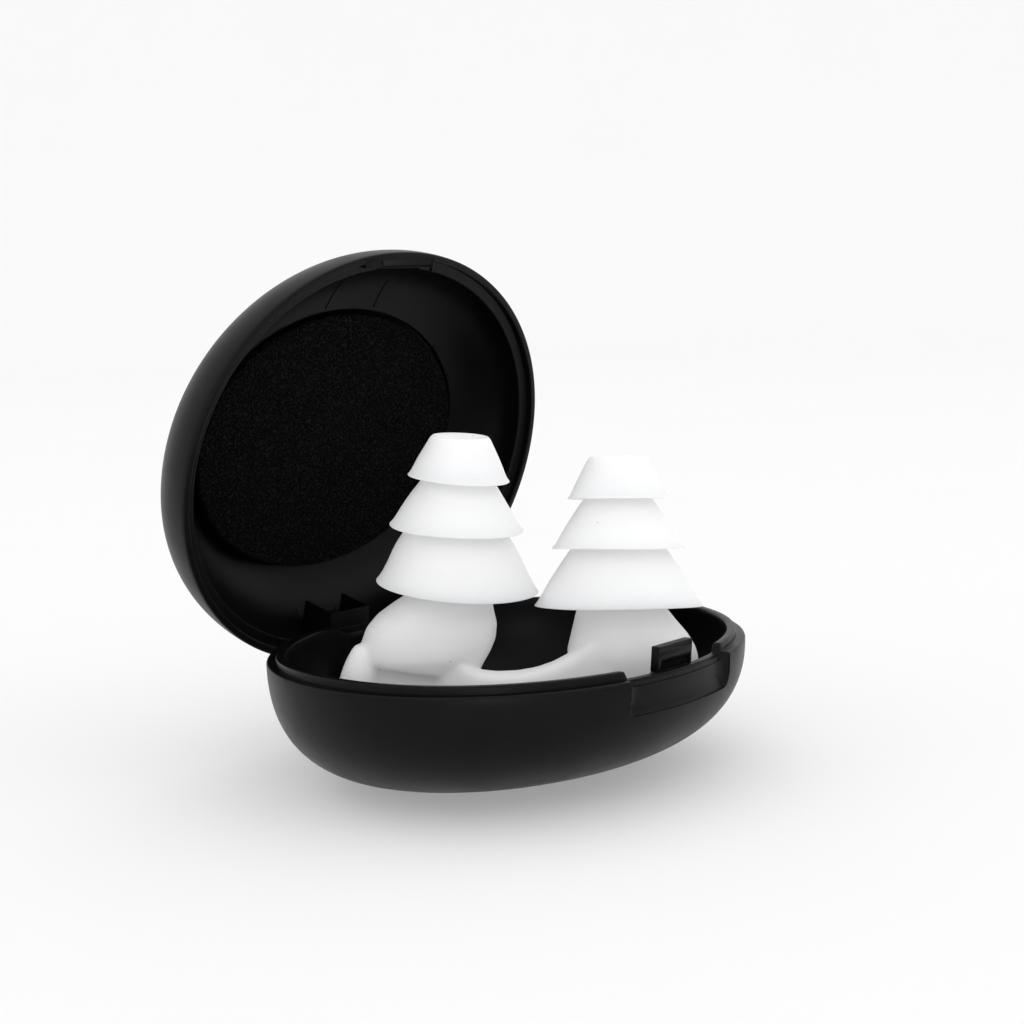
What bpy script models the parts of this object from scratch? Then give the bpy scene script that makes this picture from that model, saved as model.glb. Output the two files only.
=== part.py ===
"""Pocket case with a pair of triple-flange silicone ear plugs standing in it, lid open.

Frame: metres, +Z up, origin on the small flat foot under the base. +Y points to the hinge, -Y to the latch.
The case is drawn about its own centre on the rim plane and moved to the frame by to_part().
"""

from math import acos, cos, hypot, pi, radians, sin

import bmesh
import bpy
from mathutils import Matrix, Vector

MM = 0.001

# Case outline: a superellipse shared by base and lid.
HALF_LENGTH = 19.0 * MM
HALF_WIDTH = 16.93 * MM
OUTLINE_POWER = 2.034
WALL = 1.4 * MM
SIDES = 72

# Base bowl. Both shells are deeper towards the hinge by the slope.
BASE_DEPTH = 9.6 * MM
BASE_SLOPE = 0.082
BASE_RISE_POWER = 2.336
BASE_PLAN_POWER = 3.53
RIM_HEIGHT = 9.8 * MM
FOOT_Y = 5.9 * MM
LIP_INSET = 0.71 * MM
LIP_HEIGHT = 0.58 * MM
LIP_THICKNESS = 0.69 * MM
SHOULDER_FILLET = 0.22 * MM

# Lid dome.
LID_DEPTH = 8.54 * MM
LID_SLOPE = 0.07
LID_RISE_POWER = 2.311
LID_PLAN_POWER = 3.645
SEAM = 0.12 * MM
REBATE_INSET = 0.56 * MM
REBATE_HEIGHT = 0.78 * MM

# Hinge at the back: a lug on the lid in a slot of the base's rounded housing, on one steel pin.
HINGE_Y = 15.36 * MM
HINGE_Z = -2.27 * MM
LID_OPEN = 75.0
PIN_RADIUS = 0.5 * MM
PIN_HALF_LENGTH = 3.1 * MM
PIN_CLEARANCE = 0.08 * MM
LUG_HALF_WIDTH = 2.1 * MM
LUG_RADIUS = 1.0 * MM
LUG_WALL = 0.16 * MM
LUG_GAP = 0.25 * MM
HOUSING_HALF_WIDTH = 4.4 * MM
HOUSING_RADIUS = 1.5 * MM
NOTCH_HALF_WIDTH = 3.3 * MM
NOTCH_DEPTH = 1.15 * MM
TRIM_GAP = 0.12 * MM
TRIM_HALF_WIDTH = 8.6 * MM

# Latch at the front: a snap tab in a gap of the lip, above a thumb recess.
RECESS_HALF_WIDTH = 5.75 * MM
RECESS_DEPTH = 0.6 * MM
RECESS_BOTTOM = -2.53 * MM
LIP_GAP_HALF_WIDTH = 5.4 * MM
GAP_FLOOR = -0.06 * MM
RIB_HALF_WIDTH = 2.15 * MM
TAB_LEFT = -1.76 * MM
TAB_RIGHT = 1.93 * MM
TAB_FRONT_Y = -15.6 * MM
TAB_BACK_Y = -14.87 * MM
TAB_HEIGHT = 1.6 * MM
TAB_FOOT = 0.02 * MM
TAB_TOE = 0.26 * MM
CATCH_HALF_WIDTH = 3.6 * MM

# Foam pad in a shallow dish of the lid.
PAD_HALF_LENGTH = 13.65 * MM
PAD_HALF_WIDTH = 10.7 * MM
DISH_HALF_LENGTH = 14.0 * MM
DISH_HALF_WIDTH = 11.08 * MM
DISH_DEPTH = 0.45 * MM
PAD_FACE = 5.3 * MM
PAD_EDGE_ROUND = 0.2 * MM
TAPE_THICKNESS = 0.2 * MM
TAPE_GAP = 0.12 * MM

# Ear plugs: outer radius of each flange, and its height above the largest rim.
FLANGES = (
    # rim radius, rim height, shoulder radius, shoulder height
    (3.82 * MM, 8.10 * MM, 2.13 * MM, 11.30 * MM),
    (5.04 * MM, 4.36 * MM, 2.30 * MM, 8.50 * MM),
    (6.38 * MM, 0.00 * MM, 3.20 * MM, 4.85 * MM),
)
CORE_RADIUS = 2.0 * MM
SKIRT = 0.34 * MM
BORE_RADIUS = 1.25 * MM
SLEEVE_BOTTOM = 0.6 * MM
POST_RADIUS = 0.95 * MM
POST_TOP = 10.3 * MM
PLUG_SIDES = 40

# The pair stands askew in the bowl: the line through both plugs runs along PAIR_ALONG.
PAIR_CENTRE = Vector((1.77, -1.33, 0.0)) * MM
PAIR_ALONG = Vector((0.6676, -0.7445, 0.0))
PAIR_ACROSS = Vector((0.7445, 0.6676, 0.0))
PLUG_SPACING = 12.4 * MM
LEFT_RIM_Z = 4.46 * MM
RIGHT_RIM_Z = 2.39 * MM
LEFT_AXIS = Vector((0.0301, -0.0807, 0.9963)).normalized()
RIGHT_AXIS = Vector((0.1113, 0.0644, 0.9917)).normalized()

COLOURS = {
    "black_shell": ((0.012, 0.012, 0.013), 0.42, 0.0),
    "black_foam": ((0.008, 0.008, 0.008), 0.95, 0.0),
    "tape": ((0.05, 0.05, 0.05), 0.7, 0.0),
    "white_silicone": ((0.86, 0.86, 0.87), 0.5, 0.0),
    "steel": ((0.55, 0.55, 0.56), 0.3, 1.0),
}


# ---------------------------------------------------------------- frame and scene


def clear_scene():
    for obj in list(bpy.data.objects):
        bpy.data.objects.remove(obj, do_unlink=True)


def to_part(point):
    """Case coordinates (origin at the centre of the rim plane) to the part's frame."""
    return Vector((point[0], point[1] - FOOT_Y, point[2] + RIM_HEIGHT))


def lid_to_open(point):
    """Closed-lid case coordinates to the open lid."""
    turn = radians(LID_OPEN)
    y, z = point[1] - HINGE_Y, point[2] - HINGE_Z
    return Vector((
        point[0],
        HINGE_Y + y * cos(turn) + z * sin(turn),
        HINGE_Z - y * sin(turn) + z * cos(turn),
    ))


def place_closed(point):
    return to_part(point)


def place_open(point):
    return to_part(lid_to_open(point))


def pair_point(along, across, z):
    """A point of the ear plug pair in case coordinates."""
    flat = PAIR_CENTRE + PAIR_ALONG * along + PAIR_ACROSS * across
    return Vector((flat.x, flat.y, z))


def material(name):
    found = bpy.data.materials.get(name)
    if found:
        return found
    colour, roughness, metallic = COLOURS[name]
    made = bpy.data.materials.new(name)
    made.use_nodes = True
    shader = made.node_tree.nodes["Principled BSDF"]
    shader.inputs["Base Color"].default_value = (*colour, 1.0)
    shader.inputs["Roughness"].default_value = roughness
    shader.inputs["Metallic"].default_value = metallic
    return made


def collection(name):
    found = bpy.data.collections.get(name)
    if not found:
        found = bpy.data.collections.new(name)
        bpy.context.scene.collection.children.link(found)
    return found


def add_object(name, mesh, finish):
    obj = bpy.data.objects.new(name, mesh)
    collection("ear_plug_case").objects.link(obj)
    mesh.materials.append(material(finish))
    mesh.shade_smooth()
    mesh.set_sharp_from_angle(angle=radians(35.0))
    return obj


def add_cutter(name, mesh):
    obj = bpy.data.objects.new(name, mesh)
    collection("cutters").objects.link(obj)
    obj.hide_render = True
    obj.display_type = "WIRE"
    return obj


def boolean(obj, other, operation):
    modifier = obj.modifiers.new(other.name, "BOOLEAN")
    modifier.operation = operation
    modifier.object = other
    modifier.solver = "EXACT"


# ---------------------------------------------------------------- mesh builders


def finish_mesh(name, bm):
    bm.normal_update()
    bmesh.ops.recalc_face_normals(bm, faces=bm.faces)
    mesh = bpy.data.meshes.new(name)
    bm.to_mesh(mesh)
    bm.free()
    return mesh


def loft(name, rings, start, end, place):
    """A closed skin over rings of equal count, closed by a fan to a point at each end."""
    bm = bmesh.new()
    loops = [[bm.verts.new(place(p)) for p in ring] for ring in rings]
    for lower, upper in zip(loops, loops[1:]):
        for i, vert in enumerate(lower):
            j = (i + 1) % len(lower)
            bm.faces.new((vert, lower[j], upper[j], upper[i]))
    for loop, tip in ((loops[0], start), (loops[-1], end)):
        centre = bm.verts.new(place(tip))
        for i, vert in enumerate(loop):
            bm.faces.new((vert, loop[(i + 1) % len(loop)], centre))
    return finish_mesh(name, bm)


def box_mesh(name, low, high, place=place_closed):
    bm = bmesh.new()
    bmesh.ops.create_cube(bm, size=1.0)
    middle = (Vector(low) + Vector(high)) / 2
    size = Vector(high) - Vector(low)
    for vert in bm.verts:
        vert.co = place(middle + Vector(a * b for a, b in zip(vert.co, size)))
    return finish_mesh(name, bm)


def rod_mesh(name, radius, start, end, sides, place=place_closed):
    """A round rod between two points in case coordinates."""
    bm = bmesh.new()
    start, end = Vector(start), Vector(end)
    bmesh.ops.create_cone(
        bm, cap_ends=True, segments=sides, radius1=radius, radius2=radius, depth=(end - start).length
    )
    turn = Vector((0, 0, 1)).rotation_difference(end - start).to_matrix().to_4x4()
    move = Matrix.Translation((start + end) / 2) @ turn
    for vert in bm.verts:
        vert.co = place(move @ vert.co)
    return finish_mesh(name, bm)


def prism_mesh(name, outline, low_x, high_x, place):
    """A slab whose (y, z) outline is pushed along X."""
    bm = bmesh.new()
    verts = [bm.verts.new((low_x, y, z)) for y, z in outline]
    face = bm.faces.new(verts)
    pushed = bmesh.ops.extrude_face_region(bm, geom=[face])["geom"]
    moved = [g for g in pushed if isinstance(g, bmesh.types.BMVert)]
    bmesh.ops.translate(bm, verts=moved, vec=(high_x - low_x, 0, 0))
    for vert in bm.verts:
        vert.co = place(vert.co)
    return finish_mesh(name, bm)


# ---------------------------------------------------------------- case shells


def signed_power(value, power):
    return (1 if value >= 0 else -1) * abs(value) ** power


def outline_ring(inset, z):
    """The case outline pulled in by inset along its own normal, at height z."""
    ring = []
    for i in range(SIDES):
        turn = 2 * pi * i / SIDES
        x = HALF_LENGTH * signed_power(cos(turn), 2 / OUTLINE_POWER)
        y = HALF_WIDTH * signed_power(sin(turn), 2 / OUTLINE_POWER)
        nx = signed_power(x / HALF_LENGTH, OUTLINE_POWER - 1) / HALF_LENGTH
        ny = signed_power(y / HALF_WIDTH, OUTLINE_POWER - 1) / HALF_WIDTH
        size = hypot(nx, ny)
        ring.append(Vector((x - inset * nx / size, y - inset * ny / size, z)))
    return ring


def wall_reach(x):
    """How far the outline reaches along Y at x."""
    return HALF_WIDTH * (1 - (abs(x) / HALF_LENGTH) ** OUTLINE_POWER) ** (1 / OUTLINE_POWER)


def dome_ring(elevation, inset, depth, slope, rise_power, plan_power, limit):
    """A ring of the dome at an elevation angle: 0 at the rim, 90 at the pole."""
    angle = radians(elevation)
    reach = cos(angle) ** (2 / plan_power)
    rise = sin(angle) ** (2 / rise_power)
    ring = []
    for point in outline_ring(inset, 0.0):
        x, y = point.x * reach, point.y * reach
        ring.append(Vector((x, y, min((depth + slope * y) * rise, limit))))
    return ring


def flip(ring):
    return [Vector((p.x, p.y, -p.z)) for p in ring]


def lip_ring(inset, z):
    """A ring of the lip, which falls to half its height at the hinge."""
    ring = outline_ring(inset, z)
    for point in ring:
        share = min(max((point.y - 3.0 * MM) / (9.0 * MM), 0.0), 1.0)
        point.z *= 1 - 0.5 * share * share * (3 - 2 * share)
    return ring


OUTER_ELEVATIONS = (87, 83, 79, 75, 70, 65, 59, 52, 44, 35, 26, 17, 9, 3.5)
INNER_ELEVATIONS = (3, 10, 20, 31, 42, 53, 63, 72, 80, 86)


def base_rings():
    outer = (0.0, BASE_DEPTH, BASE_SLOPE, BASE_RISE_POWER, BASE_PLAN_POWER, RIM_HEIGHT)
    inner_depth = BASE_DEPTH - WALL
    inner = (WALL, inner_depth, BASE_SLOPE, BASE_RISE_POWER, BASE_PLAN_POWER, RIM_HEIGHT - WALL)
    rings = [flip(dome_ring(a, *outer)) for a in OUTER_ELEVATIONS]
    lip_in = LIP_INSET + LIP_THICKNESS
    rings += [
        outline_ring(SHOULDER_FILLET * 0.3, -SHOULDER_FILLET * 0.3),
        outline_ring(SHOULDER_FILLET, 0.0),
        outline_ring(LIP_INSET, 0.0),
        lip_ring(LIP_INSET, LIP_HEIGHT * 0.75),
        lip_ring(LIP_INSET + 0.15 * MM, LIP_HEIGHT),
        lip_ring(lip_in - 0.12 * MM, LIP_HEIGHT),
        lip_ring(lip_in, LIP_HEIGHT * 0.75),
    ]
    rings += [flip(dome_ring(a, *inner)) for a in INNER_ELEVATIONS]
    return rings, (0, 0, -BASE_DEPTH), (0, 0, -inner_depth)


def lid_rings():
    inner_depth = LID_DEPTH - WALL
    outer = (0.0, LID_DEPTH - SEAM, LID_SLOPE, LID_RISE_POWER, LID_PLAN_POWER, 1.0)
    inner = (WALL, inner_depth - REBATE_HEIGHT, LID_SLOPE, LID_RISE_POWER, LID_PLAN_POWER, 1.0)

    def lifted(ring, z):
        return [p + Vector((0, 0, z)) for p in ring]

    rings = [lifted(dome_ring(a, *outer), SEAM) for a in OUTER_ELEVATIONS]
    rings += [
        outline_ring(0.03 * MM, SEAM),
        outline_ring(REBATE_INSET, SEAM),
        outline_ring(REBATE_INSET, REBATE_HEIGHT),
        outline_ring(WALL - 0.1 * MM, REBATE_HEIGHT),
    ]
    rings += [lifted(dome_ring(a, *inner), REBATE_HEIGHT) for a in INNER_ELEVATIONS]
    return rings, (0, 0, LID_DEPTH), (0, 0, inner_depth)


def hinge_circle(radius, start, end, steps):
    """Points (y, z) on an arc about the hinge axis, angles in degrees from +Y towards +Z."""
    points = []
    for i in range(steps + 1):
        turn = radians(start + (end - start) * i / steps)
        points.append((HINGE_Y + radius * cos(turn), HINGE_Z + radius * sin(turn)))
    return points


def housing_mesh():
    """The rounded housing of the pin, tapered into the wall at both ends and flat towards the outside."""
    rings = []
    for i in range(17):
        share = -0.98 + 1.96 * i / 16
        radius = HOUSING_RADIUS * (1 - abs(share) ** 3.5) ** 0.55
        flat = HINGE_Y + 0.7 * MM
        circle = hinge_circle(radius, 0, 345, 23)
        rings.append([Vector((HOUSING_HALF_WIDTH * share, min(y, flat), z)) for y, z in circle])
    ends = [Vector((side * 0.99 * HOUSING_HALF_WIDTH, HINGE_Y, HINGE_Z)) for side in (-1, 1)]
    return loft("housing", rings, *ends, place_closed)


def recess_mesh():
    """What is cut from the front wall for the thumb: its inner face runs along the wall."""
    rings = []
    for inset, z in ((RECESS_DEPTH + 0.3 * MM, RECESS_BOTTOM), (RECESS_DEPTH, 0.0), (RECESS_DEPTH, 3.0 * MM)):
        ring = []
        for i in range(25):
            x = RECESS_HALF_WIDTH * (i / 12 - 1)
            ring.append(Vector((x, -wall_reach(x) + inset, z)))
        ring += [Vector((RECESS_HALF_WIDTH, -20.0 * MM, z)), Vector((-RECESS_HALF_WIDTH, -20.0 * MM, z))]
        rings.append(ring)
    return loft("recess", rings, (0, -18.5 * MM, RECESS_BOTTOM), (0, -18.5 * MM, 3.0 * MM), place_closed)


def base_shell():
    rings, bottom, floor = base_rings()
    shell = add_object("base_shell", loft("base_shell", rings, bottom, floor, place_closed), "black_shell")

    # Rib behind the tab and housing round the pin, both sunk in the wall.
    rib = [(-15.95 * MM, -0.12 * MM), (-14.83 * MM, -0.12 * MM), (-14.83 * MM, -3.4 * MM), (-15.95 * MM, -3.4 * MM)]
    rib_mesh = prism_mesh("rib", rib, -RIB_HALF_WIDTH, RIB_HALF_WIDTH, place_closed)
    boolean(shell, add_cutter("rib", rib_mesh), "UNION")
    boolean(shell, add_cutter("housing", housing_mesh()), "UNION")

    # Thumb recess, gap in the lip for the tab, notch in the rim for the lug, slot for the lug.
    far = 3.0 * MM
    boolean(shell, add_cutter("recess", recess_mesh()), "DIFFERENCE")
    lip_gap = box_mesh(
        "lip_gap",
        (-LIP_GAP_HALF_WIDTH, -HALF_WIDTH - far, GAP_FLOOR),
        (LIP_GAP_HALF_WIDTH, -HALF_WIDTH + 2 * far, far),
    )
    boolean(shell, add_cutter("lip_gap", lip_gap), "DIFFERENCE")
    notch = box_mesh(
        "notch",
        (-NOTCH_HALF_WIDTH, HINGE_Y - 3.2 * MM, -NOTCH_DEPTH),
        (NOTCH_HALF_WIDTH, HALF_WIDTH + far, far),
    )
    boolean(shell, add_cutter("notch", notch), "DIFFERENCE")
    half_slot = LUG_HALF_WIDTH + LUG_GAP
    reach = LUG_RADIUS + LUG_GAP
    slot = [(20.0 * MM, far), (HINGE_Y - reach, far)]
    slot += hinge_circle(reach, 180, 270, 6)
    slot += [(20.0 * MM, HINGE_Z - reach)]
    slot_mesh = prism_mesh("lug_slot", slot, -half_slot, half_slot, place_closed)
    boolean(shell, add_cutter("lug_slot", slot_mesh), "DIFFERENCE")
    bore = PIN_HALF_LENGTH + 0.1 * MM
    pin_hole = rod_mesh(
        "pin_hole",
        PIN_RADIUS + PIN_CLEARANCE,
        (-bore, HINGE_Y, HINGE_Z),
        (bore, HINGE_Y, HINGE_Z),
        24,
    )
    boolean(shell, add_cutter("pin_hole", pin_hole), "DIFFERENCE")
    return shell


def trim_barrel():
    """What the base's back rim sweeps out of the closing lid: a barrel about the hinge axis."""
    rings = []
    for i in range(19):
        x = TRIM_HALF_WIDTH * (i / 9 - 1)
        radius = hypot(wall_reach(x) - HINGE_Y, HINGE_Z) + TRIM_GAP
        rings.append([Vector((x, y, z)) for y, z in hinge_circle(radius, 0, 350, 35)])
    ends = [Vector((side * TRIM_HALF_WIDTH, HINGE_Y, HINGE_Z)) for side in (-1, 1)]
    return loft("trim_barrel", rings, *ends, place_open)


def dish_mesh():
    """The shallow oval dish in the lid's ceiling that takes the pad."""
    rings = [oval_ring(DISH_HALF_LENGTH, DISH_HALF_WIDTH, 1.0, lambda x, y: 3.0 * MM)]
    rings += [oval_ring(DISH_HALF_LENGTH, DISH_HALF_WIDTH, share, dish_height) for share in OVAL_SHARES]
    return loft("dish", rings, (0, 0, 3.0 * MM), (0, 0, dish_height(0, 0)), place_open)


def lid_shell():
    rings, top, ceiling = lid_rings()
    shell = add_object("lid_shell", loft("lid_shell", rings, top, ceiling, place_open), "black_shell")
    boolean(shell, add_cutter("trim_barrel", trim_barrel()), "DIFFERENCE")
    boolean(shell, add_cutter("dish", dish_mesh()), "DIFFERENCE")

    # The lug: a hollow block inside the back of the lid that runs down round the pin.
    lug = hinge_circle(LUG_RADIUS, 180, 360, 8)
    lug += [(HINGE_Y + LUG_RADIUS, 0.3 * MM), (HINGE_Y + 0.6 * MM, 1.2 * MM), (HINGE_Y + 0.3 * MM, 3.8 * MM)]
    lug += [(13.0 * MM, 3.8 * MM), (13.0 * MM, 0.55 * MM), (HINGE_Y - LUG_RADIUS, 0.3 * MM)]
    lug_mesh = prism_mesh("lid_lug", lug, -LUG_HALF_WIDTH, LUG_HALF_WIDTH, place_open)
    boolean(shell, add_cutter("lid_lug", lug_mesh), "UNION")
    hollow = [(12.0 * MM, 0.76 * MM), (14.7 * MM, 0.76 * MM), (14.7 * MM, 4.3 * MM)]
    hollow += [(14.1 * MM, 5.05 * MM), (12.0 * MM, 6.4 * MM)]
    inside = LUG_HALF_WIDTH - LUG_WALL
    boolean(shell, add_cutter("lug_hollow", prism_mesh("lug_hollow", hollow, -inside, inside, place_open)), "DIFFERENCE")
    reach = LUG_HALF_WIDTH + 0.9 * MM
    pin_hole = rod_mesh(
        "lug_hole",
        PIN_RADIUS + PIN_CLEARANCE,
        (-reach, HINGE_Y, HINGE_Z),
        (reach, HINGE_Y, HINGE_Z),
        24,
        place_open,
    )
    boolean(shell, add_cutter("lug_hole", pin_hole), "DIFFERENCE")

    # Catch: the rebate filled in, a ridge that the nose of the tab snaps behind, room for the nose.
    fill = box_mesh(
        "catch_fill",
        (-CATCH_HALF_WIDTH, -16.5 * MM, 0.05 * MM),
        (CATCH_HALF_WIDTH, TAB_FRONT_Y - 0.2 * MM, 0.9 * MM),
        place_open,
    )
    boolean(shell, add_cutter("catch_fill", fill), "UNION")
    room = box_mesh(
        "nose_room",
        (TAB_LEFT - 0.4 * MM, TAB_FRONT_Y - 0.15 * MM, -1.0 * MM),
        (TAB_RIGHT + 0.4 * MM, TAB_FRONT_Y + 3.0 * MM, TAB_HEIGHT + 0.2 * MM),
        place_open,
    )
    boolean(shell, add_cutter("nose_room", room), "DIFFERENCE")
    ridge = box_mesh(
        "catch_ridge",
        (TAB_LEFT, TAB_FRONT_Y - 0.5 * MM, 0.4 * MM),
        (TAB_RIGHT, TAB_FRONT_Y + 0.02 * MM, 0.95 * MM),
        place_open,
    )
    boolean(shell, add_cutter("catch_ridge", ridge), "UNION")
    return shell


def hinge_pin():
    ends = [(side * PIN_HALF_LENGTH, HINGE_Y, HINGE_Z) for side in (-1, 1)]
    pin = add_object("hinge_pin", rod_mesh("hinge_pin", PIN_RADIUS, *ends, 24), "steel")
    bevel = pin.modifiers.new("round_ends", "BEVEL")
    bevel.width = 0.1 * MM
    bevel.segments = 1
    bevel.limit_method = "ANGLE"
    return pin


def latch_tab():
    """A snap tongue: a nose along its top edge, a dished outer face and a splayed foot."""
    outline = [
        (TAB_FRONT_Y - TAB_TOE, TAB_FOOT),
        (TAB_BACK_Y, TAB_FOOT),
        (TAB_BACK_Y, TAB_HEIGHT),
        (TAB_FRONT_Y, TAB_HEIGHT),
        (TAB_FRONT_Y, TAB_HEIGHT - 0.24 * MM),
        (TAB_FRONT_Y + 0.12 * MM, 1.1 * MM),
        (TAB_FRONT_Y + 0.14 * MM, 0.6 * MM),
        (TAB_FRONT_Y + 0.04 * MM, 0.25 * MM),
        (TAB_FRONT_Y - TAB_TOE, 0.07 * MM),
    ]
    mesh = prism_mesh("latch_tab", outline, TAB_LEFT, TAB_RIGHT, place_closed)
    return add_object("latch_tab", mesh, "black_shell")


OVAL_SHARES = (1.0, 0.85, 0.65, 0.4, 0.15)


def oval_ring(half_length, half_width, share, height):
    """An oval ring at the heights given by height(x, y)."""
    ring = []
    for i in range(SIDES):
        turn = 2 * pi * i / SIDES
        x = half_length * share * cos(turn)
        y = half_width * share * sin(turn)
        ring.append(Vector((x, y, height(x, y))))
    return ring


def dish_height(x, y):
    """Height of the dish's floor above the rim plane, inside the closed lid."""
    share = (abs(x) / (HALF_LENGTH - WALL)) ** OUTLINE_POWER + (abs(y) / (HALF_WIDTH - WALL)) ** OUTLINE_POWER
    angle = acos(share ** (LID_PLAN_POWER / 2 / OUTLINE_POWER))
    depth = LID_DEPTH - WALL - REBATE_HEIGHT + LID_SLOPE * y
    return REBATE_HEIGHT + depth * sin(angle) ** (2 / LID_RISE_POWER) + DISH_DEPTH


def foam_pad():
    """An oval pad with a flat face whose back follows the dish."""
    rings = []
    for inset in (PAD_EDGE_ROUND, 0.0):
        rise = PAD_FACE + PAD_EDGE_ROUND - inset
        rings.append(oval_ring(PAD_HALF_LENGTH - inset, PAD_HALF_WIDTH - inset, 1.0, lambda x, y: rise))
    gap = 2 * TAPE_GAP + TAPE_THICKNESS
    for share in OVAL_SHARES:
        rings.append(oval_ring(PAD_HALF_LENGTH, PAD_HALF_WIDTH, share, lambda x, y: dish_height(x, y) - gap))
    mesh = loft("foam_pad", rings, (0, 0, PAD_FACE), (0, 0, dish_height(0, 0) - gap), place_open)
    return add_object("foam_pad", mesh, "black_foam")


def pad_tape():
    """The adhesive layer between pad and dish."""
    length, width = PAD_HALF_LENGTH - 0.25 * MM, PAD_HALF_WIDTH - 0.25 * MM
    lower = TAPE_GAP + TAPE_THICKNESS
    rings = []
    for gap, shares in ((lower, reversed(OVAL_SHARES)), (TAPE_GAP, OVAL_SHARES)):
        for share in shares:
            rings.append(oval_ring(length, width, share, lambda x, y: dish_height(x, y) - gap))
    middle = dish_height(0, 0)
    mesh = loft("pad_tape", rings, (0, 0, middle - lower), (0, 0, middle - TAPE_GAP), place_open)
    return add_object("pad_tape", mesh, "tape")


# ---------------------------------------------------------------- ear plugs


def plug_profile():
    """Outer side from the tip down over the three flanges, then up the bore."""
    tip = FLANGES[0][3]
    points = [(BORE_RADIUS, tip - 0.45 * MM), (1.75 * MM, tip)]
    for i, (rim, rim_z, shoulder, shoulder_z) in enumerate(FLANGES):
        points.append((shoulder, shoulder_z))
        points.append((rim * 0.45 + shoulder * 0.55 + 0.12 * MM, rim_z * 0.42 + shoulder_z * 0.58))
        points.append((rim, rim_z))
        points.append((rim - SKIRT, rim_z + 0.05 * MM))
        points.append((CORE_RADIUS, rim_z + 1.4 * MM))
        if i < 2:
            points.append((CORE_RADIUS, FLANGES[i + 1][3] + 0.35 * MM))
    points.append((CORE_RADIUS, SLEEVE_BOTTOM))
    points.append((BORE_RADIUS, SLEEVE_BOTTOM))
    return points


def plug_seat(side):
    """Centre of the largest rim and the axis of one plug, in case coordinates."""
    if side < 0:
        return pair_point(-PLUG_SPACING / 2, 0.0, LEFT_RIM_Z), LEFT_AXIS
    return pair_point(PLUG_SPACING / 2, 0.0, RIGHT_RIM_Z), RIGHT_AXIS


def ear_plug(name, side):
    seat, axis = plug_seat(side)
    bm = bmesh.new()
    verts = [bm.verts.new((r, 0.0, z)) for r, z in plug_profile()]
    for a, b in zip(verts, verts[1:] + verts[:1]):
        bm.edges.new((a, b))
    mesh = bpy.data.meshes.new(name)
    bm.to_mesh(mesh)
    bm.free()
    plug = bpy.data.objects.new(name, mesh)
    collection("ear_plug_case").objects.link(plug)
    mesh.materials.append(material("white_silicone"))
    turned = plug.modifiers.new("turned", "SCREW")
    turned.steps = PLUG_SIDES
    turned.render_steps = PLUG_SIDES
    turned.use_merge_vertices = True
    turned.merge_threshold = 0.00001
    turned.use_smooth_shade = True
    plug.location = to_part(seat)
    plug.rotation_mode = "QUATERNION"
    plug.rotation_quaternion = Vector((0, 0, 1)).rotation_difference(axis)
    return plug


def oval(along, across, z, half_along, half_across):
    """An oval section of the carrier."""
    ring = []
    for i in range(28):
        turn = 2 * pi * i / 28
        run = half_along * signed_power(cos(turn), 0.87)
        deep = half_across * signed_power(sin(turn), 0.87)
        ring.append(pair_point((along + run) * MM, (across + deep) * MM, z * MM))
    return ring


def centre_of(ring):
    return sum(ring, Vector()) / len(ring)


def skin(name, rings):
    return loft(name, rings, centre_of(rings[0]), centre_of(rings[-1]), place_closed)


# Sections of each body in millimetres: height, left edge, right edge, half depth, shift to the near side.
LEFT_BODY = (
    (4.1, -8.6, -4.2, 2.2, 0.0),
    (3.62, -10.1, -3.45, 3.2, 0.0),
    (3.1, -11.0, -3.35, 3.5, 0.1),
    (2.3, -12.15, -3.25, 3.8, 0.1),
    (0.3, -13.4, -3.2, 4.2, 0.2),
    (-1.6, -13.4, -4.2, 4.2, 0.0),
    (-4.0, -12.8, -5.0, 3.6, -0.6),
    (-5.4, -11.8, -5.4, 3.2, -0.8),
    (-6.6, -10.4, -6.0, 2.2, -0.9),
)
RIGHT_BODY = (
    (2.55, 3.6, 8.6, 2.4, 0.0),
    (2.0, 2.95, 9.9, 3.4, 0.0),
    (1.2, 2.75, 10.5, 3.8, 0.1),
    (-0.8, 2.2, 11.9, 4.1, 0.2),
    (-2.6, 2.6, 12.1, 3.9, 0.0),
    (-4.0, 3.4, 11.5, 3.5, 0.0),
    (-5.4, 4.4, 10.3, 3.0, 0.0),
    (-6.4, 5.6, 9.2, 2.0, 0.0),
)
# Stations of the strap in millimetres: along, across, height, half depth, half height.
STRAP = (
    (-7.6, -3.3, -3.0, 1.2, 1.2),
    (-5.8, -3.2, -2.65, 1.35, 1.3),
    (-4.5, -2.9, -2.72, 1.2, 1.1),
    (-3.2, -2.75, -2.82, 1.1, 1.02),
    (-1.6, -2.7, -2.8, 1.1, 1.0),
    (-0.2, -2.7, -2.6, 1.1, 1.0),
    (1.0, -2.65, -2.32, 1.15, 1.08),
    (2.0, -2.55, -2.05, 1.25, 1.25),
    (3.0, -2.4, -1.95, 1.35, 1.5),
    (5.4, -2.2, -2.1, 1.3, 1.3),
)
# Sections of the fin in millimetres: height, along, half length, half depth, shift to the near side.
FIN = (
    (0.45, -13.35, 0.3, 0.5, 1.9),
    (-0.6, -13.35, 1.05, 1.2, 2.0),
    (-2.3, -13.6, 1.45, 1.5, 2.1),
    (-4.6, -13.2, 1.1, 1.3, 1.6),
)


def plug_body(name, sections):
    return skin(name, [oval((a + b) / 2, -near, z, (b - a) / 2, deep) for z, a, b, deep, near in sections])


def strap_mesh():
    """The bar that joins the bodies, sagging between them on the near side."""
    rings = []
    for along, across, z, deep, high in STRAP:
        ring = []
        for k in range(16):
            turn = 2 * pi * k / 16
            out = deep * signed_power(cos(turn), 0.6)
            up = high * signed_power(sin(turn), 0.6)
            ring.append(pair_point(along * MM, (across + out) * MM, (z + up) * MM))
        rings.append(ring)
    return skin("strap", rings)


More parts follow.
